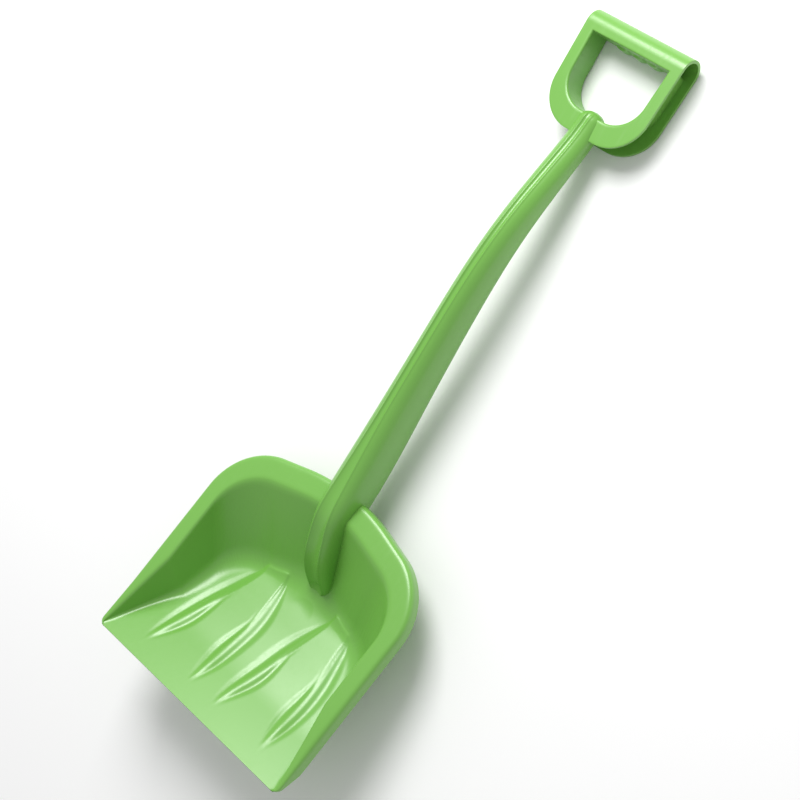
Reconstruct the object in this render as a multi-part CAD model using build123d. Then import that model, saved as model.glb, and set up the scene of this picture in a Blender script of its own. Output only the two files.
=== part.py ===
"""A child's moulded snow shovel: deep scoop, curved hollow shaft and D-shaped hand grip.

The shovel lies on its back.  X is across it, Y runs from the blade's edge to the grip, Z is up.
The scoop's heel and the grip's back face both touch the floor, which is Z = 0.
The scoop is drawn in its own blade frame, whose Y follows the blade floor, and is then leaned back.
All sizes are in millimetres.
"""
from build123d import *
import os
from math import cos, radians, sin, tan

os.makedirs("parts", exist_ok=True)

# ------------------------------------------------------------------ driving dimensions
# Scoop
blade_width = 235.0        # across the rim, outside
rim_length = 215.5         # front edge to the back of the rim, measured along the rim plane
rim_angle = 23.2           # rim plane above the blade floor
scoop_wall = 2.6           # moulded wall of the scoop
floor_dip = 7.0            # the blade floor starts down at this angle and leaves at the same angle
floor_front = 45.0         # straight stretch behind the front edge
floor_bend = 260.0         # radius of the shallow bend across the floor
floor_rear = 18.0          # straight stretch in front of the heel
heel_radius = 42.0         # inside radius between floor and back wall
back_wall_angle = 66.0     # back wall above the blade floor
side_lean = 14.0           # side walls lean in by this much from the rim plane's normal
rim_side = 16.0            # width of the rim's top at the sides
rim_rear = 20.8            # and at the back
rim_corner = 58.0          # outside radius of the two rear corners
rear_slope = 14.3          # each half of the rear edge slopes by this much
rear_radius = 200.0        # and the halves meet in this radius outside
bowl_rear_radius = 150.0   # and in this one inside
front_corner = 6.0         # plan radius of the two front corners
rim_round = 4.5            # rounding along the rim's outer top edge
skirt_depth = 12.0         # height of the rim's down-turned skirt
narrowing = 78.0           # the walls draw in over this much of their length
panel_height = 1.8         # raised floor panels
panel_climb = 14.0         # the panels run on up the heel's curve by this much
panel_rear = 42.3          # middle of each panel's rear edge from the middle of the scoop
panel_tips = 46.6          # middle between its two tips from the middle of the scoop
panel_width = 23.0         # rear width of each panel
prong_length = 123.5       # panel rear to the tips of its two prongs
prong_spread = 59.0        # distance between the tips of one panel's prongs
prong_width = 14.0         # widest part of a prong

# Shaft
lean = 35.8                # blade floor to the ground when the shovel lies on its back
shaft_reach = 451.0        # heel to the tip of the shaft
crown_height = 60.0        # highest line of the shaft above the ground
shaft_width = 26.0         # across the shaft at its middle
shaft_depth = 38.0         # front to back of the shaft at its middle
root_width = 31.0          # where the shaft leaves the scoop
root_depth = 48.0
shaft_wall = 3.0           # hollow moulding
tip_round = 6.0            # rounding of the shaft's end
groove_width = 5.0         # shallow groove along the crown
groove_depth = 1.3
toe_groove_width = 14.0    # the groove widens at the foot
toe_groove_depth = 3.1
foot_setback = 12.7        # the foot's front stands this far in front of the back wall's foot
notch_above_heel = 28.0    # bottom of the notch in the back wall, up from the wall's foot
foot_gap = 0.2             # all round, where the shaft passes the back wall

# Grip
grip_depth = 25.0          # front flange to back flange, outside
grip_width = 101.0         # across the grip
grip_wall = 2.6
hole_width = 80.0          # hand hole
hole_height = 58.0
grip_taper = 1.5           # each leg draws in by this much from the bar to the bow
bow_width = 18.6           # lower bow, hole to outer edge
bar_height = 18.0          # hand bar, hole to its rounded top
bow_corner = 34.0          # outside corner radius of the bow
hole_corner = 26.5         # inside corner radius
grip_gap = 0.2             # all round, where the shaft passes through the bow
bow_rise = 5.5             # the shaft's crown stands this far above the front flange at the bow's edge
tip_rise = 3.0             # and this far at its tip
tip_show = 5.0             # the shaft's rounded end shows this far inside the hand hole
ridge_count = 3            # finger ridges under the bar
ridge_pitch = 16.0
ridge_radius = 5.8         # half the length of a ridge
ridge_height = 2.2
ridge_depth = 10.0         # from the back of a ridge to its front

# Fasteners: countersunk screws for plastics
screw_shank = 4.0
screw_head = 7.6
screw_recess = 1.0         # width of the cross recess's slots
recess_length = 4.2
recess_depth = 1.4
screw_point = 1.5          # length of the tapered end
head_room = 0.4            # round a head in its counterbore
wall_screw_length = 9.5    # two through the back wall into the foot
wall_screw_spots = (7.0, 20.0)     # up the back wall from its foot
bow_screw_length = 14.0    # two through the bow into the shaft's end
bow_screw_spots = (5.0, 14.5)      # from the bow's edge
screw_seat = 2.6           # what the counterbores leave under the shaft's end

beyond = 400.0             # reach of a cutting block, more than anything it has to cut across

# ------------------------------------------------------------------ worked out from those
half_blade = blade_width / 2
half_turn = 1 / cos(radians(rear_slope)) - 1     # the halves' lines cross beyond their arc by this share
outer_rear = rim_length + rear_radius * half_turn
outer_corner = outer_rear - half_blade * tan(radians(rear_slope))
inner_front = half_blade - scoop_wall
inner_side = half_blade - rim_side
inner_rear = rim_length - rim_rear + bowl_rear_radius * half_turn      # where the inner lines cross
inner_corner = inner_rear - inner_side * tan(radians(rear_slope))
inner_radius = rim_corner - (rim_side + rim_rear) / 2 + 7.0      # a little fuller than a true offset
bowl_depth = 65.0          # the bowl's block reaches this far below the rim plane, under its floor
outline_start = -80.0      # the outlines run on in front of the edge, which is cut afterwards


def along(start, angle, length):
    """A point a length away from another, in the blade's side view."""
    return (start[0] + length * cos(radians(angle)), start[1] + length * sin(radians(angle)))


def normal(start, angle, length):
    """A point off to the left of a direction."""
    return along(start, angle + 90, length)


# Side view of the scoop's inner surface: straight, shallow bend, straight, heel, back wall.
bend_start = along((0, 0), -floor_dip, floor_front)
bend_centre = normal(bend_start, -floor_dip, floor_bend)
bend_end = along(bend_centre, -90 + floor_dip, floor_bend)
heel_start = along(bend_end, floor_dip, floor_rear)
heel_centre = normal(heel_start, floor_dip, heel_radius)
heel_end = along(heel_centre, -90 + back_wall_angle, heel_radius)

# The back wall's inner face, from the rim down to the height of the heel's end.
inner_back = rim_length - rim_rear
wall_top = along((0, 0), rim_angle, inner_back)
wall_length = (wall_top[1] - heel_end[1]) / sin(radians(back_wall_angle))
wall_foot = along(wall_top, back_wall_angle, -wall_length)

# The blade frame is turned down by the lean and lifted so that the heel touches the ground.
heel_turned = -heel_centre[0] * sin(radians(lean)) + heel_centre[1] * cos(radians(lean))
lift = heel_radius + scoop_wall - heel_turned
leaned = Pos(0, 0, lift) * Rot(X=-lean)


def ground(point):
    """A side-view point of the blade frame, in the lying frame."""
    y, z = point
    return (y * cos(radians(lean)) + z * sin(radians(lean)),
            lift - y * sin(radians(lean)) + z * cos(radians(lean)))


def side_face(offset):
    """Everything above the scoop's inner surface moved out by an offset, in the side view."""
    first = normal((0, 0), -floor_dip, -offset)
    start = along(first, -floor_dip, outline_start)
    b0 = normal(bend_start, -floor_dip, -offset)
    b1 = along(bend_centre, -90, floor_bend + offset)
    b2 = along(bend_centre, -90 + floor_dip, floor_bend + offset)
    h0 = along(heel_centre, -90 + floor_dip, heel_radius + offset)
    h1 = along(heel_centre, -90 + (floor_dip + back_wall_angle) / 2, heel_radius + offset)
    h2 = along(heel_centre, -90 + back_wall_angle, heel_radius + offset)
    top = along(h2, back_wall_angle, beyond)
    with BuildLine(Plane.YZ) as line:
        Line(start, b0)
        ThreePointArc(b0, b1, b2)
        Line(b2, h0)
        ThreePointArc(h0, h1, h2)
        Line(h2, top)
        Line(top, (start[0], top[1]))
        Line((start[0], top[1]), start)
    return make_face(line.edges())


def above_floor(offset):
    """The side view carried across the scoop."""
    return extrude(side_face(offset), amount=blade_width, both=True)


rim_plane = Plane(origin=(0, 0, 0), x_dir=(1, 0, 0),
                  z_dir=(0, -sin(radians(rim_angle)), cos(radians(rim_angle))))


def rim_level(height):
    """A plane parallel to the rim, above it or (negative) below it."""
    return rim_plane.offset(height)


def rounded_outline(points, corner_y, corner, middle_radius):
    """A plan outline whose rear corners and middle are rounded."""
    with BuildSketch() as sketch:
        with BuildLine():
            Polyline(points, close=True)
        make_face()
        corners = sketch.vertices().filter_by(lambda v: abs(v.Y - corner_y) < 0.1 and abs(v.X) > 1)
        fillet(corners, corner)
        middle = sketch.vertices().filter_by(lambda v: abs(v.X) < 0.1)
        fillet(middle, middle_radius)
    return sketch


def bowl_outline(out, back, radius):
    """The bowl's outline moved out at the sides and back."""
    points = [(-inner_front - out, outline_start), (-inner_side - out, back + narrowing),
              (-inner_side - out, back + inner_corner), (0, back + inner_rear),
              (inner_side + out, back + inner_corner), (inner_side + out, back + narrowing),
              (inner_front + out, outline_start)]
    return rounded_outline(points, back + inner_corner, radius, bowl_rear_radius).face()


def bowl(wall):
    """The tapering block inside the walls, or (with a wall added) inside their outer faces."""
    levels = []
    for height in (-bowl_depth, bowl_depth):
        out = height * tan(radians(side_lean)) + wall
        back = height / tan(radians(back_wall_angle - rim_angle)) + wall
        levels.append(rim_level(height) * bowl_outline(out, back, inner_radius + wall))
    return loft(levels, ruled=True)


def rim_outline(inset, front_radius):
    """The rim's outer outline in plan."""
    points = [(-half_blade + inset, 0), (-half_blade + inset, outer_corner - inset),
              (0, outer_rear - inset), (half_blade - inset, outer_corner - inset),
              (half_blade - inset, 0)]
    face = rounded_outline(points, outer_corner - inset, rim_corner - inset, rear_radius).face()
    if front_radius:
        face = fillet(face.vertices().filter_by(lambda v: abs(v.Y) < 0.1), front_radius)
    return face


def floor_panel(side):
    """One raised floor panel with its two forward prongs, drawn from above."""
    rear = heel_start[0] + panel_climb
    tip = rear - prong_length
    neck = rear - prong_length / 2
    half_rear = panel_width / 2
    half_tips = prong_spread / 2
    rear_middle = side * panel_rear
    tip_middle = side * panel_tips
    points = [(rear_middle - half_rear, rear), (tip_middle - half_tips, tip),
              (tip_middle - half_tips + prong_width, neck), (tip_middle + half_tips - prong_width, neck),
              (tip_middle + half_tips, tip), (rear_middle + half_rear, rear)]
    plan = make_face(Polyline(points, close=True).edges())
    column = extrude(Pos(0, 0, -beyond / 2) * plan, amount=beyond)
    sunk = above_floor(scoop_wall / 4) - above_floor(-panel_height)
    return column & sunk


def make_scoop():
    """Bowl, rim and floor panels in one moulding, in the blade frame."""
    cavity = bowl(0) & above_floor(0)
    below_rim = extrude(rim_plane * Rectangle(2 * beyond, 2 * beyond), amount=-beyond)
    skin = bowl(scoop_wall) & above_floor(scoop_wall) & below_rim
    rim_block = extrude(rim_plane * rim_outline(0, 0), amount=-skirt_depth)
    on_top = rim_block.edges().filter_by(lambda e: abs(rim_plane.to_local_coords(e.center()).Z) < 0.01)
    top_edges = on_top.filter_by(lambda e: rim_plane.to_local_coords(e.center()).Y > 1)
    rim_block = fillet(top_edges, rim_round)
    hollow = extrude(rim_level(-scoop_wall) * rim_outline(scoop_wall, 0), amount=-skirt_depth)
    edge_plane = Plane(origin=(0, 0, 0), x_dir=(1, 0, 0),
                       z_dir=(0, sin(radians(floor_dip)), cos(radians(floor_dip)))).offset(-scoop_wall)
    above_edge = extrude(edge_plane * Rectangle(2 * beyond, 2 * beyond), amount=beyond)
    rim = (rim_block - hollow) & above_edge
    plan = extrude(rim_level(-beyond / 2) * rim_outline(0, front_corner), amount=beyond)
    scoop = ((skin + rim) - cavity) & plan
    for side in (-1, 1):
        scoop += floor_panel(side)
    return scoop


# ------------------------------------------------------------------ shaft
heel_y = ground(heel_centre)[0]
tip_y = heel_y + shaft_reach
hole_bottom = tip_y - tip_show
bow_bottom = hole_bottom - bow_width
hole_top = hole_bottom + hole_height
bar_top = hole_top + bar_height
toe_y = wall_foot[0] - foot_setback
groove_taper = 6           # stations over which the groove narrows
tip_height = grip_depth + tip_rise
bow_height = grip_depth + bow_rise
bow_depth = 0.55 * shaft_depth                   # the shaft's section at the bow, front to back
bow_screw_sink = bow_height - bow_depth - screw_seat

# Each station: a point on the shaft's highest line, then the section's width and depth there.
# The first four stand on the blade floor and are measured in the blade frame.
foot_stations = [((toe_y + 1.0, -4.0), 0.80 * root_width, 0.62 * root_depth),
                 ((toe_y, 24.0), 0.84 * root_width, 0.76 * root_depth),
                 ((toe_y + 5.0, 49.0), 0.90 * root_width, 0.76 * root_depth),
                 ((toe_y + 18.0, 74.0), 0.97 * root_width, 0.86 * root_depth)]
# The rest are shares of the reach along the ground, and heights above it.
upper_stations = [(0.170, 0.945 * crown_height, root_width, 0.97 * root_depth),
                  (0.300, 0.968 * crown_height, 0.97 * root_width, 0.96 * root_depth),
                  (0.385, 0.980 * crown_height, 1.09 * shaft_width, 1.15 * shaft_depth),
                  (0.580, crown_height, shaft_width, shaft_depth),
                  (0.765, 0.865 * crown_height, 0.97 * shaft_width, 0.80 * shaft_depth)]
stations = [(ground(point), width, depth) for point, width, depth in foot_stations]
stations += [((heel_y + share * shaft_reach, height), width, depth)
             for share, height, width, depth in upper_stations]
stations += [((bow_bottom, bow_height), 0.96 * shaft_width, bow_depth),
             ((tip_y, tip_height), 0.92 * shaft_width, 0.50 * shaft_depth)]
last = len(stations) - 1
crown = Spline([(0, *point) for point, width, depth in stations])


def station_plane(index):
    """The plane across the shaft at a station: local X across, local Y towards the crown."""
    point = stations[index][0]
    heading = crown.tangent_at(Vector(0, *point))
    return Plane(origin=(0, *point), x_dir=(1, 0, 0), z_dir=(-heading.X, -heading.Y, -heading.Z))


def shaft_section(index, grow):
    """The shaft's oval section, made larger (or smaller) all round."""
    width, depth = stations[index][1:]
    oval = Ellipse(width / 2 + grow, depth / 2 + grow)
    return (station_plane(index) * Pos(0, -depth / 2) * oval).face()


def shaft_body(first, last, grow):
    """A stretch of the shaft from one station to another, made larger (or smaller) all round."""
    return loft([shaft_section(index, grow) for index in range(first, last + 1)])


def groove_round(index):
    """The round bar that cuts the crown groove, wider and deeper at the foot."""
    share = max(0.0, 1 - index / groove_taper) ** 2
    width = groove_width + (toe_groove_width - groove_width) * share
    depth = groove_depth + (toe_groove_depth - groove_depth) * share
    radius = (width ** 2 / 4 + depth ** 2) / (2 * depth)
    return (station_plane(index) * Pos(0, radius - depth) * Circle(radius)).face()


# Screws from behind: through the back wall into the foot, and through the bow into the shaft's end.
wall_inward = (0, -sin(radians(back_wall_angle)), cos(radians(back_wall_angle)))
wall_screws = []
for distance in wall_screw_spots:
    spot = along(along(wall_foot, back_wall_angle, distance), back_wall_angle - 90, scoop_wall)
    wall_screws.append(leaned * Plane(origin=(0, *spot), x_dir=(1, 0, 0), z_dir=wall_inward).location)
bow_screws = [Pos(0, bow_bottom + distance, bow_screw_sink) for distance in bow_screw_spots]
head_height = (screw_head - screw_shank) / 2


def screw_cone():
    return Pos(0, 0, head_height / 2) * Cone(screw_head / 2, screw_shank / 2, head_height)


def screw(length):
    """A countersunk screw with a cross recess, its head's flat face on the XY plane, shank along +Z."""
    shank = Pos(0, 0, length / 2) * Cylinder(screw_shank / 2, length)
    point = Pos(0, 0, length + screw_point / 2) * Cone(screw_shank / 2, screw_shank / 8, screw_point)
    body = screw_cone() + shank + point
    for turn in (0, 90):
        body -= Rot(Z=turn) * Box(recess_length, screw_recess, 2 * recess_depth)
    return body


def screw_hole(length, sink):
    """What a screw's seat and thread take away, with a counterbore in front of the head."""
    bore = length + 1.5 * screw_point
    hole = screw_cone() + Pos(0, 0, bore / 2) * Cylinder(screw_shank / 2, bore)
    if sink:
        hole += Pos(0, 0, -sink) * Cylinder(screw_head / 2 + head_room, 2 * sink)
    return hole


def make_shaft():
    """The hollow shaft: its foot fills the corner behind the floor, its end passes through the bow."""
    body = shaft_body(0, last, 0)
    end_rim = body.faces().sort_by(Axis.Y)[-1].edges()
    body = fillet(end_rim, tip_round)
    body -= shaft_body(len(foot_stations), last - 2, -shaft_wall)
    body -= loft([groove_round(index) for index in range(0, last + 1)])
    # Under the notch in the back wall the foot keeps only what stands inside the bowl.
    outside = Box(4 * root_width, 2 * beyond, 2 * beyond) & notch_limit(-1)
    return body - (leaned * (outside - (bowl(0) & above_floor(0))))


def notch_limit(side):
    """The blade frame's half above (1) or below (-1) the bottom of the notch in the back wall."""
    base = along(wall_foot, back_wall_angle, notch_above_heel)
    plane = Plane(origin=(0, *base), x_dir=(1, 0, 0),
                  z_dir=(0, cos(radians(back_wall_angle)), sin(radians(back_wall_angle))))
    return extrude(plane * Rectangle(2 * beyond, 2 * beyond), amount=side * beyond)


def finish_scoop():
    """The scoop in its lying place, with the notch for the shaft and two screw holes."""
    scoop = leaned * make_scoop()
    scoop -= shaft_body(0, last, foot_gap) & (leaned * notch_limit(1))
    for place in wall_screws:
        scoop -= place * screw_hole(wall_screw_length, 0)
    return scoop


# ------------------------------------------------------------------ grip
def grip_outline(grow, bottom, top, half_top, half_bottom, radius):
    """A D outline in plan, its two lower corners rounded."""
    points = [(-half_bottom - grow, bottom - grow), (half_bottom + grow, bottom - grow),
              (half_top + grow, top + grow), (-half_top - grow, top + grow)]
    with BuildSketch() as sketch:
        with BuildLine():
            Polyline(points, close=True)
        make_face()
        fillet(sketch.vertices().filter_by(lambda v: abs(v.Y - bottom + grow) < 0.01), radius + grow)
    return sketch.face()


def hole_outline(grow):
    half = hole_width / 2
    return grip_outline(grow, hole_bottom, hole_top, half, half - grip_taper, hole_corner)


def level_edges(solid, height):
    """The two long edges across a block at its top in plan."""
    return solid.edges().filter_by(Axis.X).filter_by(lambda e: abs(e.center().Y - height) < 0.01)


def make_grip():
    """Front flange, back flange, the wall of the hand hole, the hollow bar and the shaft's seat."""
    half = grip_width / 2
    block = extrude(grip_outline(0, bow_bottom, bar_top, half, half - grip_taper, bow_corner),
                    amount=grip_depth)
    bar_round = min(grip_depth / 2, bar_height) - 0.05       # the bar's back is almost a half round
    block = fillet(level_edges(block, bar_top), bar_round)
    inside_top = bar_top - grip_wall
    inside_bottom = bow_bottom - grip_wall
    room = Pos(0, (inside_bottom + inside_top) / 2, grip_depth / 2) * Box(
        grip_width + 2 * grip_wall, inside_top - inside_bottom, grip_depth - 2 * grip_wall)
    room = fillet(level_edges(room, inside_top), bar_round - grip_wall)
    web = extrude(hole_outline(grip_wall), amount=grip_depth)
    seat_width = shaft_width + 2 * (grip_gap + grip_wall)
    seat = Pos(0, (bow_bottom + hole_bottom) / 2, grip_depth / 2) * Box(seat_width, bow_width, grip_depth)
    hole = extrude(hole_outline(0), amount=grip_depth)
    grip = block - (room - web) + (seat & block) - hole + finger_ridges()
    grip -= shaft_body(0, last, grip_gap)
    for place in bow_screws:
        grip -= place * screw_hole(bow_screw_length, bow_screw_sink)
    return grip


def finger_ridges():
    """Low ridges under the bar that part the fingers, on the half away from the front flange."""
    squash = (1, ridge_height / ridge_radius, 1)
    ridges = []
    for count in range(ridge_count):
        across = (count - (ridge_count - 1) / 2) * ridge_pitch
        ridge = scale(Cylinder(ridge_radius, ridge_depth), by=squash)
        ridges.append(Pos(across, hole_top, grip_depth * 0.3) * ridge)
    below_bar = Pos(0, hole_top - beyond / 2 + grip_wall / 2, 0) * Box(hole_width, beyond, beyond)
    return Compound(ridges) & below_bar


# ------------------------------------------------------------------ assembly
def save(name, solids):
    """Write one node and print what was made; the model's origin is the middle of its footprint."""
    node = Compound(children=list(solids), label=name)
    export_step(centred * node, "parts/" + name + ".step")
    print(name, len(node.solids()), "solid(s)", round(node.volume / 1000, 1), "cm3")


wall_cuts = [place * screw_hole(wall_screw_length, 0) for place in wall_screws]
bow_cuts = [place * screw_hole(bow_screw_length, 0) for place in bow_screws]
scoop = finish_scoop()
shaft = make_shaft()
for cut in wall_cuts + bow_cuts:
    shaft -= cut
grip = make_grip()
scoop_screws = [place * screw(wall_screw_length) for place in wall_screws]
grip_screws = [place * screw(bow_screw_length) for place in bow_screws]

everything = Compound(scoop.solids() + shaft.solids() + grip.solids() + scoop_screws + grip_screws)
box = everything.bounding_box()
centred = Pos(-box.center().X, -box.center().Y, -box.min.Z)
save("scoop", scoop.solids())
save("shaft", shaft.solids())
save("grip", grip.solids())
save("scoop_screws", scoop_screws)
save("grip_screws", grip_screws)
print("overall", [round(v, 1) for v in (box.size.X, box.size.Y, box.size.Z)])
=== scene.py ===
# %% [markdown]
# # A child's snow shovel
# The real shovel is three glossy green plastic mouldings: a deep scoop, a curved hollow shaft and
# a D-shaped hand grip, held together by four hidden screws.  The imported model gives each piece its
# place.  Here each moulding is drawn again from its own named sizes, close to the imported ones, with
# the soft blends, rolled edges and creases that make moulded plastic look moulded.

# %% Load the frame
import bpy
import math
import numpy as np
from mathutils import Euler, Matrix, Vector


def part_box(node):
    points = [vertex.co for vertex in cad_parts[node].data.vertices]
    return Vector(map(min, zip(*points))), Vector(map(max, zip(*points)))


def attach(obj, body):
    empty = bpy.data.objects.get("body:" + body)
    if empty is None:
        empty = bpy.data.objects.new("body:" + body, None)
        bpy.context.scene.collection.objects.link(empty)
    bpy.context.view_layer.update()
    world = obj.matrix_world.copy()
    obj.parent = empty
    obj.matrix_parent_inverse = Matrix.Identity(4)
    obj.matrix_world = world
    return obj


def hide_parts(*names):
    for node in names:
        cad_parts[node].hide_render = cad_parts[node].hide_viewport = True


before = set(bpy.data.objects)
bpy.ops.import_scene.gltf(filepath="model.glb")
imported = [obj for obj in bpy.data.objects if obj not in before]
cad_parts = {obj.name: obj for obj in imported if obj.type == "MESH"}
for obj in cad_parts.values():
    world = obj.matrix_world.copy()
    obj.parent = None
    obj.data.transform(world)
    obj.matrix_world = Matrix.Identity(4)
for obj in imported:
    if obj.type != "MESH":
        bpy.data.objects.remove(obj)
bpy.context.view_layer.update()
MM = 0.001
print("CAD nodes:", sorted(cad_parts))

# %% [markdown]
# ## Helpers for moulded sheets
# A moulded wall is a curved sheet with a constant thickness.  It could be pulled out of a cube by
# extruding and bevelling, but its blends change their radius all the way along, which bevels can't
# do.  So each sheet starts as a flat grid, its vertices are carried to where the moulding's
# surface is, as a sculptor would push them, and a Solidify modifier gives the wall its thickness.

# %% Grid sheets
def only(obj):
    """Select one object and make it active."""
    bpy.ops.object.select_all(action="DESELECT")
    obj.select_set(True)
    bpy.context.view_layer.objects.active = obj


def grid_sheet(name, table):
    """A grid whose vertices are carried to a table of places, in metres, one row per column."""
    columns, rows = table.shape[0] - 1, table.shape[1] - 1
    bpy.ops.object.select_all(action="DESELECT")
    bpy.ops.mesh.primitive_grid_add(x_subdivisions=columns, y_subdivisions=rows, size=1)
    obj = bpy.context.object
    obj.name = obj.data.name = name
    flat = np.empty(len(obj.data.vertices) * 3)
    obj.data.vertices.foreach_get("co", flat)
    flat = flat.reshape(-1, 3)
    across = np.rint((flat[:, 0] + 0.5) * columns).astype(int)
    along = np.rint((flat[:, 1] + 0.5) * rows).astype(int)
    obj.data.vertices.foreach_set("co", table[across, along].ravel())
    obj.data.update()
    return obj


def in_edit_mode(obj, *steps):
    """Run edit-mode operators on the whole mesh."""
    only(obj)
    bpy.ops.object.mode_set(mode="EDIT")
    bpy.ops.mesh.select_all(action="SELECT")
    for step in steps:
        step()
    bpy.ops.object.mode_set(mode="OBJECT")


def weld(obj, distance=2e-5):
    """Join vertices that lie together, and turn all faces the same way."""
    in_edit_mode(obj, lambda: bpy.ops.mesh.remove_doubles(threshold=distance),
                 lambda: bpy.ops.mesh.normals_make_consistent(inside=False))


def faces_point(obj, near, direction):
    """Turn the mesh round if its face nearest to a point looks away from a direction."""
    nearest = min(obj.data.polygons, key=lambda face: (face.center - Vector(near)).length)
    if nearest.normal.dot(Vector(direction)) < 0:
        in_edit_mode(obj, lambda: bpy.ops.mesh.flip_normals())


def apply_all(obj):
    """Apply an object's modifiers in their order."""
    only(obj)
    for modifier in list(obj.modifiers):
        bpy.ops.object.modifier_apply(modifier=modifier.name)


def belongs(obj, node):
    """A finished piece stands in for its CAD node, which is hidden."""
    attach(obj, "root")
    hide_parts(node)
    print(obj.name, len(obj.data.vertices), "vertices,", len(obj.data.polygons), "faces")


# %% Curves and blends
def smooth_step(low, high, value):
    share = np.clip((value - low) / (high - low), 0, 1)
    return share * share * (3 - 2 * share)


def curve_through(knots, values, places):
    """A smooth curve through given points, read at the given places."""
    knots, values = np.asarray(knots, float), np.asarray(values, float)
    count = len(knots)
    gaps = np.diff(knots)
    system = np.eye(count)
    right = np.zeros_like(values)
    for i in range(1, count - 1):
        system[i, i - 1:i + 2] = gaps[i - 1], 2 * (gaps[i - 1] + gaps[i]), gaps[i]
        slope_after = (values[i + 1] - values[i]) / gaps[i]
        slope_before = (values[i] - values[i - 1]) / gaps[i - 1]
        right[i] = 6 * (slope_after - slope_before)
    bend = np.linalg.solve(system, right)
    i = np.clip(np.searchsorted(knots, places) - 1, 0, count - 2)
    gap = gaps[i][:, None]
    a = (knots[i + 1] - places)[:, None] / gap
    b = 1 - a
    return (a * values[i] + b * values[i + 1]
            + ((a ** 3 - a) * bend[i] + (b ** 3 - b) * bend[i + 1]) * gap ** 2 / 6)


def blended_path(legs, windows, counts):
    """A path of joined stretches, its corners blended, sampled a fixed number of times per stretch.

    Each window is half the length of the blend at one corner, limited by the stretches beside it.
    """
    dense = np.vstack([legs[0]] + [leg[1:] for leg in legs[1:]])
    steps = np.linalg.norm(np.diff(dense, axis=0), axis=1) + 1e-9
    run = np.concatenate([[0], np.cumsum(steps)])
    ends, index = [0.0], 0
    for leg in legs:
        index += len(leg) - 1
        ends.append(run[index])
    lengths = np.diff(ends)
    places = [np.linspace(ends[k], ends[k + 1], n, endpoint=False) for k, n in enumerate(counts)]
    places = np.concatenate(places + [[ends[-1]]])
    window = np.zeros_like(places)
    for k, wanted in enumerate(windows):
        half = min(wanted, 0.49 * lengths[k], 0.49 * lengths[k + 1])
        low = 0 if k == 0 else (ends[k] + ends[k + 1]) / 2
        high = ends[-1] if k == len(windows) - 1 else (ends[k + 1] + ends[k + 2]) / 2
        window[(places >= low) & (places <= high)] = half
    places = np.clip(places, 1e-4, ends[-1] - 1e-4)
    window = np.maximum(np.minimum(window, np.minimum(places, ends[-1] - places)), 1e-4)
    total = np.vstack([np.zeros(3), np.cumsum((dense[1:] + dense[:-1]) / 2 * steps[:, None], axis=0)])

    def summed(at):
        at = np.clip(at, 0, run[-1])
        k = np.clip(np.searchsorted(run, at) - 1, 0, len(steps) - 1)
        part = (at - run[k])[:, None]
        slope = (dense[k + 1] - dense[k]) / steps[k][:, None]
        return total[k] + dense[k] * part + slope * part ** 2 / 2

    return (summed(places + window) - summed(places - window)) / (2 * window[:, None])


# %% [markdown]
# ## The scoop's side view
# The blade floor drops a little behind the edge, bends up across the middle, and turns through the
# heel into the back wall.  These few sizes draw it in the blade's own frame: Y along the floor from
# the front edge, Z up from it, in millimetres.  The blade then leans back by one angle.

# %% Blade frame
lean = math.radians(35.8)
rim_angle = math.radians(23.2)
back_wall_angle = math.radians(66)
floor_dip = math.radians(7)
floor_front, floor_bend, floor_rear, heel_radius = 45.0, 260.0, 18.0, 42.0
edge_overhang = 0.8          # the edge's underside stands this far in front of its top
scoop_low, scoop_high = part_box("scoop")

dip_along, dip_down = math.cos(floor_dip), math.sin(floor_dip)
bend_start = (floor_front * dip_along, -floor_front * dip_down)
bend_centre = (bend_start[0] + floor_bend * dip_down, bend_start[1] + floor_bend * dip_along)
bend_end = bend_centre[0] + floor_bend * dip_down
heel_start = (bend_end + floor_rear * dip_along, bend_start[1] + floor_rear * dip_down)
heel_centre = (heel_start[0] - heel_radius * dip_down, heel_start[1] + heel_radius * dip_along)
print("the heel's curve starts", round(heel_start[0], 1), "mm behind the front edge")


def floor_height(y):
    """Height of the blade floor's upper face, with the heel's curve at its rear."""
    bend = bend_centre[1] - np.sqrt(np.maximum(floor_bend ** 2 - (y - bend_centre[0]) ** 2, 1))
    rear = heel_start[1] + (y - heel_start[0]) * math.tan(floor_dip)
    heel = heel_centre[1] - np.sqrt(np.maximum(heel_radius ** 2 - (y - heel_centre[0]) ** 2, 1))
    return np.select([y < bend_start[0], y < bend_end, y < heel_start[0]],
                     [-y * math.tan(floor_dip), bend, rear], heel)


def lying(points):
    """Blade-frame millimetres to the lying shovel's metres."""
    x, y, z = np.moveaxis(np.asarray(points, float), -1, 0)
    return np.stack([x * MM,
                     scoop_low.y + (edge_overhang + y * math.cos(lean) + z * math.sin(lean)) * MM,
                     scoop_high.z + (z * math.cos(lean) - y * math.sin(lean)) * MM], axis=-1)


def on_rim(x, s, height):
    """A point above (or below) the rim's plane, s millimetres behind the front edge."""
    return np.stack([x, s * math.cos(rim_angle) - height * math.sin(rim_angle),
                     s * math.sin(rim_angle) + height * math.cos(rim_angle)], axis=-1)


# %% [markdown]
# ## The scoop's outlines
# In plan the bowl is a straight-sided U with large rear corners and a slightly bowed back.  The
# rim's outer line and the bowl's inner line have the same stretches, so point number n of one
# belongs with point number n of the other.

# %% Outlines
half_blade = 117.5
bowl_rear = 194.7            # the bowl's inner edge in the middle of the back
rear_slope = math.radians(14.3)
side_points, corner_points, slope_points, middle_points = 96, 72, 24, 24


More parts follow.
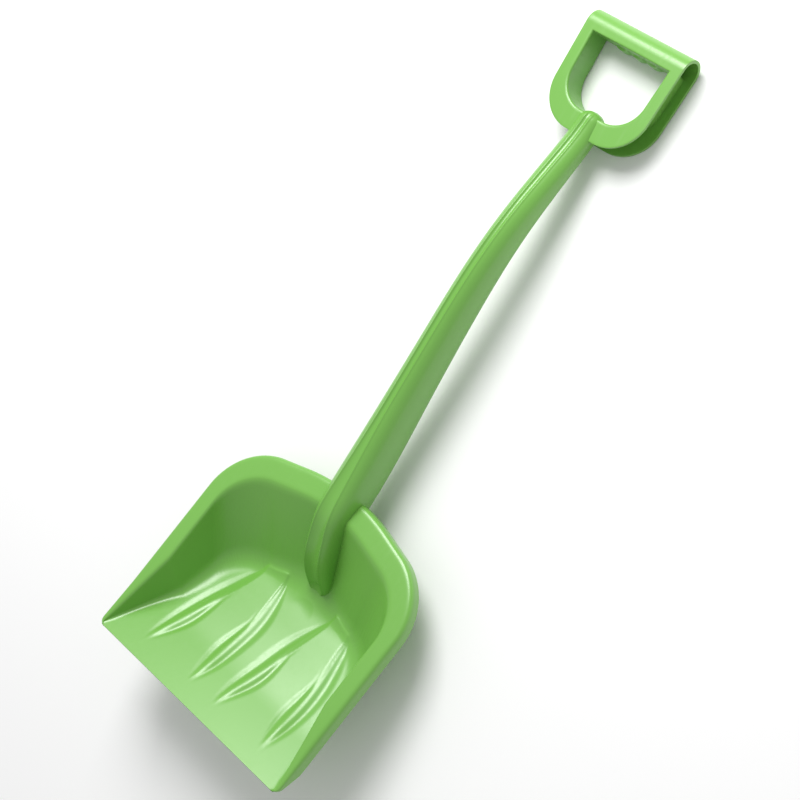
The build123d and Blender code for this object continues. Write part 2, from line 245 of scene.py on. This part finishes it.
def half_outline(front, front_round, side, drawn_in, rear, corner, middle):
    """Right half of an outline, from the front corner round to the middle of the back."""
    crossing = rear + middle * (1 / math.cos(rear_slope) - 1)
    turn = math.pi / 2 - rear_slope
    corner_x = side - corner
    corner_y = (crossing - (corner_x + corner * math.cos(turn)) * math.tan(rear_slope)
                - corner * math.sin(turn))
    s = np.linspace(0, 1, side_points, endpoint=False) ** 1.15 * corner_y
    width = side + (front - side) * np.clip(1 - s / drawn_in, 0, 1)
    rounding = front_round * (1 - np.sqrt(np.clip(1 - (1 - np.clip(s / front_round, 0, 1)) ** 2, 0, 1)))
    line = np.stack([width - rounding, s], axis=1)
    angle = np.linspace(0, turn, corner_points, endpoint=False)
    arc = np.stack([corner_x + corner * np.cos(angle), corner_y + corner * np.sin(angle)], axis=1)
    arc_x = middle * math.sin(rear_slope)
    x = np.linspace(arc[-1, 0] - 0.5, arc_x, slope_points, endpoint=False)
    slope = np.stack([x, crossing - x * math.tan(rear_slope)], axis=1)
    angle = np.linspace(rear_slope, 0, middle_points)
    bow = np.stack([middle * np.sin(angle), rear - middle + middle * np.cos(angle)], axis=1)
    return np.vstack([line, arc, slope, bow])


rim_line = half_outline(half_blade, 6.0, half_blade, 1.0, 215.5, 58.0, 200.0)
bowl_line = half_outline(114.6, 3.5, 101.5, 78.0, bowl_rear, 46.6, 150.0)
print("rim line:", len(rim_line), "points to a side")

# %% [markdown]
# ## Panels and leaves on the blade floor
# Two low flat panels rise from the floor.  Each runs forward into two pointed leaves: a crest with
# a shallow hollow on either side of it, dying out towards the front.  They are a height added to
# the floor, worked out from the distance to each leaf's crest.

# %% Floor relief
leaf_tip, leaf_rear, hollow_rear = 14.5, 137.5, 106.0
crest_full, inner_fade, rear_fade = 46.0, 45.0, 45.0
panel_start, panel_full, rear_step = 52.0, 104.0, 5.5
narrowest_hollow, narrowest_inner = 0.8, 2.5
panel_height, hollow_depth = 1.7, 0.9
crest_top, crest_round = 1.1, 1.3
crest_places = [14.5, 37.0, 66.0, 92.0, 116.0, 138.0]
outer_crest = [[76.0], [72.3], [67.6], [61.0], [54.3], [50.8]]
inner_crest = [[16.0], [17.2], [20.4], [23.2], [27.6], [31.2]]
hollow_widths = [[0.0], [8.0], [13.0], [14.5], [11.0], [1.0]]


def leaf(x, y, crest, outward):
    """Height of a leaf's crest, depth of its hollows, and distance from the crest outward."""
    at = np.clip(y, crest_places[0], crest_places[-1])
    middle = curve_through(crest_places, crest, at.ravel())[:, 0].reshape(y.shape)
    width = curve_through(crest_places, hollow_widths, at.ravel())[:, 0].reshape(y.shape)
    width = np.maximum(width, narrowest_hollow)
    away = (x - middle) * outward
    inner_width = np.maximum(width * (1 - smooth_step(inner_fade, hollow_rear, y)), narrowest_inner)
    rounded = np.sqrt(away ** 2 + crest_round ** 2) - crest_round
    share = np.clip(rounded / np.where(away > 0, width, inner_width), 0, 1)
    grow = smooth_step(leaf_tip, crest_full, y)
    crest_height = crest_top * grow * smooth_step(0, 1, 1 - 1.7 * share)
    ends = np.where(away > 0, leaf_rear, hollow_rear)
    depth = hollow_depth * grow * (1 - smooth_step(ends - rear_fade, ends, y))
    hollow = depth * np.sin(math.pi * share) ** 2
    return crest_height, hollow, away


def floor_relief(x, y):
    """Height of the panels and leaves above the plain floor."""
    x = np.abs(x)
    outer, outer_hollow, outer_away = leaf(x, y, outer_crest, 1)
    inner, inner_hollow, inner_away = leaf(x, y, inner_crest, -1)
    inside = (1 - smooth_step(-0.5, 2.5, outer_away)) * (1 - smooth_step(-0.5, 2.5, inner_away))
    panel = panel_height * smooth_step(panel_start, panel_full, y) * inside
    crests = np.maximum(outer, inner)
    height = np.maximum(panel, crests) - outer_hollow - inner_hollow
    relief = height * (1 - smooth_step(leaf_rear, leaf_rear + rear_step, y))
    return np.where((y > leaf_tip) & (y < leaf_rear + rear_step), relief, 0)


print("leaf crests rise", crest_top, "mm, panels", panel_height, "mm")


# %% [markdown]
# ## The scoop
# Each ray of the sheet starts on the blade's centre line, runs out over the floor, up the wall,
# over the rim and down its skirt.  The blend between floor and wall is tight at the front, where
# the wall starts from nothing, and wide at the rear.

# %% Scoop sheet
side_lean = math.tan(math.radians(14))
back_lean = 1 / math.tan(back_wall_angle - rim_angle)
slide_length = 118.0         # over this much of the side, the rays turn to lean back
spine_share = 0.82           # how far back a ray starts, as a share of where its wall stands
skirt_depth, skirt_front, skirt_slope = 12.0, 1.2, 0.5
rim_fall, fall_start = 0.256, 0.6     # the rim's outer part drops a little
deepest_wall = 70.0
leg_samples = 60
wall_blend_front, wall_blend_more = 2.5, 13.0
inner_edge_blend, outer_edge_blend = 3.2, 5.0
floor_rows, wall_rows, rim_rows, skirt_rows = 68, 22, 14, 8


def foot_of_wall(x, s, slide, sideways):
    """How far below the rim's plane the wall meets the floor."""
    depth = np.linspace(0, deepest_wall, 281)
    wall = on_rim(x - side_lean * sideways * depth, s - back_lean * slide * depth, -depth)
    below = np.nonzero(wall[:, 2] <= floor_height(wall[:, 1]) + 1e-6)[0]
    return depth[below[0]] if len(below) else depth[-1]


def scoop_ray(number):
    """One ray of the scoop's upper surface, in the blade frame."""
    (x, s), (rim_x, rim_s) = bowl_line[number], rim_line[number]
    corner_s = bowl_line[side_points, 1]
    slide = float(smooth_step(corner_s - slide_length, corner_s, s))
    sideways = min(1.0, x / 60)
    depth = foot_of_wall(x, s, slide, sideways)
    ramp = np.linspace(0, 1, leg_samples)
    low = on_rim(x - side_lean * sideways * depth, s - back_lean * slide * depth, -depth)
    start_y = spine_share * low[1]
    floor_y = start_y + (low[1] - start_y) * ramp
    floor = np.stack([low[0] * ramp, floor_y, floor_height(floor_y)], axis=1)
    top = on_rim(x, s, 0.0)
    wall = floor[-1] + (top - floor[-1]) * ramp[:, None]
    falling = rim_fall * (np.clip(ramp - fall_start, 0, 1) / (1 - fall_start)) ** 2
    over = on_rim(x + (rim_x - x) * ramp, s + (rim_s - s) * ramp, -falling)
    drop = min(skirt_depth, skirt_front + skirt_slope * rim_s)
    skirt = on_rim(rim_x + 0 * ramp, rim_s + 0 * ramp, -rim_fall - drop * ramp)
    wall_blend = wall_blend_front + wall_blend_more * smooth_step(0, 60, depth) * (0.4 + 0.6 * slide)
    ray = blended_path([floor, wall, over, skirt], [wall_blend, inner_edge_blend, outer_edge_blend],
                       [floor_rows, wall_rows, rim_rows, skirt_rows])
    on_floor = 1 - smooth_step(floor_rows - 6, floor_rows + 4, np.arange(len(ray)))
    ray[:, 2] += floor_relief(ray[:, 0], ray[:, 1]) * on_floor
    return ray


right = np.stack([scoop_ray(number) for number in range(len(bowl_line))])
left = right[:-1] * (-1, 1, 1)
scoop = grid_sheet("scoop_moulding", lying(np.concatenate([left, right[::-1]])))
weld(scoop)
faces_point(scoop, lying((0.0, 60.0, -5.0)), (0, 0, 1))

# %% [markdown]
# ## The scoop's wall
# The mould leaves one thickness everywhere, except at the front edge, where the plastic is drawn
# thin to cut under the snow.  A vertex group carries that taper to the Solidify modifier.

# %% Scoop wall
scoop_wall = 2.6
edge_thinning = 14.0         # the wall tapers to the front edge over this much
edge_share = 0.4             # of the wall's thickness, at the edge
taper = scoop.vertex_groups.new(name="wall")
edge_y = scoop_low.y + edge_overhang * MM
for vertex in scoop.data.vertices:
    behind = (vertex.co.y - edge_y) / MM
    share = min(1.0, edge_share + (1 - edge_share) * max(behind, 0) / edge_thinning)
    taper.add([vertex.index], share, "REPLACE")
wall = scoop.modifiers.new("wall", "SOLIDIFY")
wall.thickness = scoop_wall * MM
wall.offset = -1
wall.vertex_group = taper.name
apply_all(scoop)
only(scoop)
bpy.ops.object.shade_smooth_by_angle(angle=math.radians(50))
belongs(scoop, "scoop")

# %% [markdown]
# ## The shaft
# A bowed hollow tube, oval in section, deep where it leaves the scoop and flat where it enters the
# grip.  Its foot stands on the blade floor against the back wall.  A sphere already closes both
# ends, so its rings are carried along the shaft's highest line.

# %% Shaft stations
shaft_end_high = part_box("shaft")[1]
grip_low, grip_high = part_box("grip")


def side_of_shaft(blade_y, blade_z):
    """A blade-frame point as (distance behind the front edge, height above the ground)."""
    place = lying((0.0, blade_y, blade_z)) / MM
    return place[1] - scoop_low.y / MM, place[2]


front = scoop_low.y / MM
bow_edge = grip_low.y / MM - front
shaft_end = shaft_end_high.y / MM - front
flange = grip_high.z / MM
# (along, height of the highest line, width, depth)
shaft_stations = [
    (*side_of_shaft(143.0, -7.0), 26.5, 24.0),
    (*side_of_shaft(141.6, 20.0), 28.2, 26.0),
    (*side_of_shaft(145.0, 44.0), 29.4, 31.0),
    (*side_of_shaft(155.5, 67.0), 30.2, 40.0),
    (186.5, 55.5, 30.6, 45.0),
    (212.0, 57.6, 31.0, 47.0),
    (252.0, 58.0, 30.2, 46.5),
    (300.0, 58.8, 28.2, 43.2),
    (350.0, 59.5, 26.8, 39.6),
    (400.0, 59.4, 26.0, 36.6),
    (440.0, 56.4, 25.5, 33.2),
    (475.0, 50.2, 25.2, 29.4),
    (505.0, 42.2, 25.0, 25.4),
    (528.0, 35.6, 24.8, 22.6),
    (bow_edge, flange + 5.4, 24.4, 20.9),
    (shaft_end, flange + 2.6, 23.6, 19.0)]

print("shaft:", len(shaft_stations), "stations")

# %% [markdown]
# ## The shaft's skin
# The sphere's poles become the two closed ends.  A groove runs along the crown: wide and deep at
# the foot, where it starts in a round end, and narrow further up.  What would pass through the
# blade is pressed into its thickness, because there the real shaft ends.

# %% Shaft mesh
shaft_rings, shaft_segments = 460, 128
groove_start = 9.0           # the groove's round end, along the shaft from its foot
tip_length, foot_length = 9.0, 3.0     # the rounded ends
groove_half, groove_half_more = 2.4, 5.6
groove_depth, groove_depth_more = 1.2, 2.8
lip_height, lip_out, lip_half = 0.5, 0.5, 0.7
crown_flattening = 0.38
crown_crowding = 0.55        # more of the mesh goes to the grooved crown


def groove(across, run):
    """Depth of the groove in the crown, with a thin raised lip along each side."""
    half = groove_half + groove_half_more * (1 - smooth_step(40, 210, run))
    from_end = np.clip((run - groove_start) / half, 0, 1)
    half = np.maximum(half * np.sqrt(np.clip(1 - (1 - from_end) ** 2, 0, 1)), 0.05)
    depth = groove_depth + groove_depth_more * (1 - smooth_step(40, 180, run))
    share = np.abs(across) / half
    hollow = -depth * np.clip(1 - share ** 2, 0, 1) * from_end
    lip = lip_height * np.exp(-((np.abs(across) - half - lip_out) / lip_half) ** 2)
    return hollow + lip * smooth_step(groove_start - 3, groove_start, run)


def seated(points):
    """Press what would pass through the blade floor or the low back wall into its thickness."""
    press, reach, notch = 1.3, 40.0, 49.3
    behind = points[:, 1] - scoop_low.y / MM - edge_overhang
    above = points[:, 2] - scoop_high.z / MM
    y = behind * math.cos(lean) - above * math.sin(lean)
    z = behind * math.sin(lean) + above * math.cos(lean)
    wall_top = on_rim(0.0, bowl_rear, 0.0)
    wall_y = wall_top[1] - (wall_top[2] - z) / math.tan(back_wall_angle)
    past = np.clip(y - wall_y, 0, reach)
    y = y - past * (1 - press / reach) * (1 - smooth_step(notch, notch + 3, z))
    under = np.clip(floor_height(y) - z, 0, reach) * (z < notch)
    z = z + under * (1 - press / reach)
    return lying(np.stack([points[:, 0], y, z], axis=1)) / MM


bpy.ops.object.select_all(action="DESELECT")
bpy.ops.mesh.primitive_uv_sphere_add(segments=shaft_segments, ring_count=shaft_rings, radius=1)
shaft = bpy.context.object
shaft.name = shaft.data.name = "shaft_moulding"
ball = np.array([vertex.co for vertex in shaft.data.vertices])
stations = np.array(shaft_stations)
chords = np.concatenate([[0], np.cumsum(np.hypot(*np.diff(stations[:, :2], axis=0).T))])
run = np.arccos(np.clip(ball[:, 2], -1, 1)) / math.pi * chords[-1]
place = curve_through(chords, stations, run)
ahead = curve_through(chords, stations, run + 0.5)[:, :2] - curve_through(chords, stations, run - 0.5)[:, :2]
ahead /= np.linalg.norm(ahead, axis=1)[:, None]
up = np.stack([-ahead[:, 1], ahead[:, 0]], axis=1)
turn = np.arctan2(ball[:, 0], ball[:, 1])
turn = turn - crown_crowding * np.sin(turn)
to_end = np.clip((chords[-1] - run) / tip_length, 0, 1)
to_foot = np.clip(run / foot_length, 0, 1)
round_end = np.sqrt(1 - (1 - to_end) ** 2) * np.sqrt(1 - (1 - to_foot) ** 2)
across = place[:, 2] / 2 * np.sin(turn) * round_end
squareness = 1 - crown_flattening * (1 - smooth_step(60, 300, run))    # flatter near the scoop
crown = np.where(np.cos(turn) > 0, np.abs(np.cos(turn)) ** squareness, np.cos(turn))
rise = place[:, 3] / 2 * crown * round_end
on_crown = smooth_step(0.2, 0.6, np.cos(turn)) * smooth_step(0, 0.7, to_end)
rise = rise + groove(across, run) * on_crown
centre = place[:, :2] - up * place[:, 3:4] / 2
side = centre + up * rise[:, None]
coords = seated(np.stack([across, side[:, 0] + front, side[:, 1]], axis=1)) * MM
shaft.data.vertices.foreach_set("co", coords.ravel())
shaft.data.update()
weld(shaft)
only(shaft)
bpy.ops.object.shade_smooth_by_angle(angle=math.radians(60))
belongs(shaft, "shaft")

# %% [markdown]
# ## The hand grip
# One sheet makes the whole grip: a flat front flange, the wall of the hand hole, and a back flange,
# all the way round the D.  Along the top a second stretch rolls from the front flange over to the
# back one and makes the hollow bar.  The outer side of the legs and the bow stays open.

# %% Grip outlines
tip_show, hole_length, roll_height = 5.0, 58.0, 12.6
hole_low = shaft_end_high.y / MM - tip_show
hole_high = hole_low + hole_length
bar_flat = grip_high.y / MM - roll_height
bow_corner, hole_corner = 34.0, 26.5
grip_half, hole_half, leg_taper = 50.5, 40.0, 1.5
bar_points, leg_points, turn_points, bow_points = 44, 34, 34, 16


def half_ring(half, top, bottom, radius):
    """Right half of a D, from the middle of its top round to the middle of its bow."""
    bar = np.stack([np.linspace(0, half, bar_points, endpoint=False), np.full(bar_points, top)], axis=1)
    foot = np.array([half - leg_taper, bottom + radius])
    leg = np.linspace((half, top), foot, leg_points, endpoint=False)
    angle = np.linspace(0, math.pi / 2, turn_points, endpoint=False)
    arc = np.stack([foot[0] - radius + radius * np.cos(angle), foot[1] - radius * np.sin(angle)], axis=1)
    bow = np.stack([np.linspace(foot[0] - radius, 0, bow_points), np.full(bow_points, bottom)], axis=1)
    return np.vstack([bar, leg, arc, bow])


outer_ring = half_ring(grip_half, bar_flat, grip_low.y / MM, bow_corner)
hole_ring = half_ring(hole_half, hole_high, hole_low, hole_corner)
print("grip outlines:", len(outer_ring), "points to a side")


# %% [markdown]
# ## The grip's sheet
# Each ray of the sheet crosses the front flange, turns down the wall of the hole, and crosses the
# back flange.  Three low scallops under the bar part the fingers.

# %% Grip sheet
ridge_pitch, ridge_half, ridge_height = 16.0, 6.2, 2.2
flange_rows, web_rows = 12, 26
flange_edge = 1.8            # half the length of the rounded edge between flange and wall


def finger_ridges(points):
    """Three scallops under the bar, on the half away from the front flange."""
    x, y, z = points.T
    height = np.zeros(len(x))
    for count in (-1, 0, 1):
        share = np.clip(1 - ((x - count * ridge_pitch) / ridge_half) ** 2, 0, 1)
        height = np.maximum(height, np.sqrt(share))
    under = smooth_step(hole_high - 3.0, hole_high - 0.5, y) * (np.abs(x) < hole_half - 4)
    band = smooth_step(1.0, 3.5, z) * (1 - smooth_step(12.0, 14.5, z))
    return height * ridge_height * under * band


def grip_ray(number):
    """Front flange, wall of the hole and back flange, across one point of the outline."""
    (x0, y0), (x1, y1) = outer_ring[number], hole_ring[number]
    ramp = np.linspace(0, 1, 30)[:, None]
    front_out, front_in = np.array([x0, y0, flange]), np.array([x1, y1, flange])
    back_in, back_out = np.array([x1, y1, 0.0]), np.array([x0, y0, 0.0])
    legs = [a + (b - a) * ramp for a, b in ((front_out, front_in), (front_in, back_in), (back_in, back_out))]
    ray = blended_path(legs, [flange_edge, flange_edge], [flange_rows, web_rows, flange_rows])
    ray[:, 1] -= finger_ridges(ray)
    return ray


ring = np.stack([grip_ray(number) for number in range(len(outer_ring))])
whole = np.concatenate([ring, ring[-2::-1] * (-1, 1, 1)])
grip = grid_sheet("grip_moulding", whole * MM)

roll_points = 28
angle = np.linspace(0, math.pi, roll_points)
bar_x = np.append(outer_ring[:bar_points, 0], grip_half)
bar_x = np.concatenate([-bar_x[:0:-1], bar_x])
roll = np.stack(np.broadcast_arrays(bar_x[:, None], bar_flat + roll_height * np.sin(angle),
                                    flange / 2 * (1 + np.cos(angle))), axis=-1)
bar = grid_sheet("bar_roll", roll * MM)
bpy.ops.object.select_all(action="DESELECT")
bar.select_set(True)
grip.select_set(True)
bpy.context.view_layer.objects.active = grip
bpy.ops.object.join()
weld(grip)
faces_point(grip, (0.045, (hole_low + 30) * MM, flange * MM), (0, 0, 1))

# %% [markdown]
# ## The grip's wall
# The wall goes inward from the sheet.  A small bevel takes the sharpness off the open edges, as
# on any moulded edge.

# %% Grip wall
grip_wall, edge_bevel = 2.6, 0.5
wall = grip.modifiers.new("wall", "SOLIDIFY")
wall.thickness = grip_wall * MM
wall.offset = -1
soften = grip.modifiers.new("soft edges", "BEVEL")
soften.width = edge_bevel * MM
soften.segments = 2
soften.limit_method = "ANGLE"
soften.angle_limit = math.radians(50)
apply_all(grip)
only(grip)
bpy.ops.object.shade_smooth_by_angle(angle=math.radians(40))
belongs(grip, "grip")

# %% [markdown]
# ## Finishes
# The plastic is one glossy leaf green.  Up close it has a faint orange-peel skin from the mould,
# slight flow mottling in the colour, and fine handling scuffs that dull the gloss.  These three
# patterns are one shader node group, placed in each material with its own values.

# %% Shared surface group
def moulded_skin():
    """The shared pattern: flow mottling, long fine scuffs and an orange-peel height."""
    group = bpy.data.node_groups.new("moulded skin", "ShaderNodeTree")
    face = group.interface
    peel = face.new_socket("Peel size", in_out="INPUT", socket_type="NodeSocketFloat")
    peel.default_value = 900
    flow = face.new_socket("Flow size", in_out="INPUT", socket_type="NodeSocketFloat")
    flow.default_value = 14
    for name in ("Mottle", "Scuff", "Height"):
        face.new_socket(name, in_out="OUTPUT", socket_type="NodeSocketFloat")
    nodes, links = group.nodes, group.links
    start = nodes.new("NodeGroupInput")
    end = nodes.new("NodeGroupOutput")
    place = nodes.new("ShaderNodeTexCoord")
    mottle = nodes.new("ShaderNodeTexNoise")
    mottle.inputs["Detail"].default_value = 3
    links.new(place.outputs["Object"], mottle.inputs["Vector"])
    links.new(start.outputs["Flow size"], mottle.inputs["Scale"])
    links.new(mottle.outputs["Fac"], end.inputs["Mottle"])
    stretch = nodes.new("ShaderNodeMapping")
    stretch.inputs["Scale"].default_value = (400, 30, 400)
    stretch.inputs["Rotation"].default_value = (0.2, 0.1, 0.5)
    links.new(place.outputs["Object"], stretch.inputs["Vector"])
    scuff = nodes.new("ShaderNodeTexNoise")
    scuff.inputs["Scale"].default_value = 1
    scuff.inputs["Detail"].default_value = 4
    links.new(stretch.outputs["Vector"], scuff.inputs["Vector"])
    sharpen = nodes.new("ShaderNodeMapRange")
    sharpen.inputs["From Min"].default_value = 0.52
    sharpen.inputs["From Max"].default_value = 0.75
    links.new(scuff.outputs["Fac"], sharpen.inputs["Value"])
    links.new(sharpen.outputs["Result"], end.inputs["Scuff"])
    skin = nodes.new("ShaderNodeTexNoise")
    skin.inputs["Detail"].default_value = 1
    links.new(place.outputs["Object"], skin.inputs["Vector"])
    links.new(start.outputs["Peel size"], skin.inputs["Scale"])
    links.new(skin.outputs["Fac"], end.inputs["Height"])
    return group


skin_group = moulded_skin()
print("shared group:", skin_group.name)

# %% [markdown]
# ## The plastics and the zinc
# The three mouldings come from separate moulds, so each has its own green plastic, alike in colour
# and slightly different in gloss.  The grip is handled most and is the dullest where it is scuffed.
# The screws are bright zinc-plated steel.

# %% Materials
peel_strength, peel_relief = 0.12, 0.00006


def finish(name, light, dark, roughness, worn, peel, specular, metallic=0.0):
    """A finish whose colour, gloss and skin vary slightly over the piece."""
    material = bpy.data.materials.new(name)
    material.use_nodes = True
    nodes, links = material.node_tree.nodes, material.node_tree.links
    shader = nodes["Principled BSDF"]
    shader.inputs["Metallic"].default_value = metallic
    shader.inputs["Specular IOR Level"].default_value = specular
    skin = nodes.new("ShaderNodeGroup")
    skin.node_tree = skin_group
    skin.inputs["Peel size"].default_value = peel
    colour = nodes.new("ShaderNodeMix")
    colour.data_type = "RGBA"
    colour.inputs["A"].default_value = (*light, 1)
    colour.inputs["B"].default_value = (*dark, 1)
    links.new(skin.outputs["Mottle"], colour.inputs["Factor"])
    links.new(colour.outputs["Result"], shader.inputs["Base Color"])
    gloss = nodes.new("ShaderNodeMapRange")
    gloss.inputs["To Min"].default_value = roughness
    gloss.inputs["To Max"].default_value = worn
    links.new(skin.outputs["Scuff"], gloss.inputs["Value"])
    links.new(gloss.outputs["Result"], shader.inputs["Roughness"])
    bump = nodes.new("ShaderNodeBump")
    bump.inputs["Strength"].default_value = peel_strength
    bump.inputs["Distance"].default_value = peel_relief
    links.new(skin.outputs["Height"], bump.inputs["Height"])
    links.new(bump.outputs["Normal"], shader.inputs["Normal"])
    return material


leaf_green = ((0.168, 0.430, 0.068), (0.155, 0.405, 0.061))
scoop_finish = finish("scoop green plastic", *leaf_green, 0.30, 0.38, 900, 0.75)
shaft_finish = finish("shaft green plastic", *leaf_green, 0.28, 0.36, 950, 0.75)
grip_finish = finish("grip green plastic", *leaf_green, 0.30, 0.42, 900, 0.75)
zinc = finish("bright zinc", (0.66, 0.67, 0.69), (0.56, 0.57, 0.60), 0.25, 0.45, 2500, 0.5, metallic=1.0)


def dress(obj, material):
    """Give a piece one material in place of any it had."""
    obj.data.materials.clear()
    obj.data.materials.append(material)


for piece, material in ((scoop, scoop_finish), (shaft, shaft_finish), (grip, grip_finish)):
    dress(piece, material)
for node in ("scoop_screws", "grip_screws"):
    dress(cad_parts[node], zinc)
print("finishes:", scoop_finish.name, shaft_finish.name, grip_finish.name, zinc.name, sep=", ")

# %% [markdown]
# ## Floor, light and camera
# The shovel lies on a plain pale floor.  A large soft light stands above and beyond the grip's
# end, a little to the left, and a pale sky fills the shadows.

# %% Stage
bpy.ops.object.select_all(action="DESELECT")
bpy.ops.mesh.primitive_plane_add(size=8, location=(0, 0, -0.0005))
floor = bpy.context.object
floor.name = "pale floor"
paper = bpy.data.materials.new("pale floor")
paper.use_nodes = True
paper.node_tree.nodes["Principled BSDF"].inputs["Base Color"].default_value = (0.92, 0.92, 0.92, 1)
paper.node_tree.nodes["Principled BSDF"].inputs["Roughness"].default_value = 0.9
dress(floor, paper)

sky = bpy.data.worlds.new("pale sky")
bpy.context.scene.world = sky
sky.use_nodes = True
sky.node_tree.nodes["Background"].inputs["Color"].default_value = (1, 1, 1, 1)
sky.node_tree.nodes["Background"].inputs["Strength"].default_value = 0.52


def soft_light(name, place, aim, size, watts):
    """A square area light, turned to face a point."""
    bpy.ops.object.light_add(type="AREA", location=place)
    light = bpy.context.object
    light.name = name
    light.data.size = size
    light.data.energy = watts
    light.rotation_euler = (Vector(aim) - Vector(place)).to_track_quat("-Z", "Y").to_euler()
    return light


key = soft_light("key", (-0.5, 1.15, 1.35), (0, 0, 0), 1.0, 37)

print("stage:", floor.name, sky.name, key.name, sep=", ")

# %% Camera
bpy.ops.object.camera_add(location=(0.806, 0.193, 1.248),
                          rotation=Euler([math.radians(a) for a in (12.68, 32.64, 37.68)]))
camera = bpy.context.object
camera.data.lens = 82.77
camera.data.sensor_width = 36
bpy.context.scene.camera = camera
bpy.context.scene.view_settings.view_transform = "Standard"
print("camera lens:", round(camera.data.lens, 2), "mm")
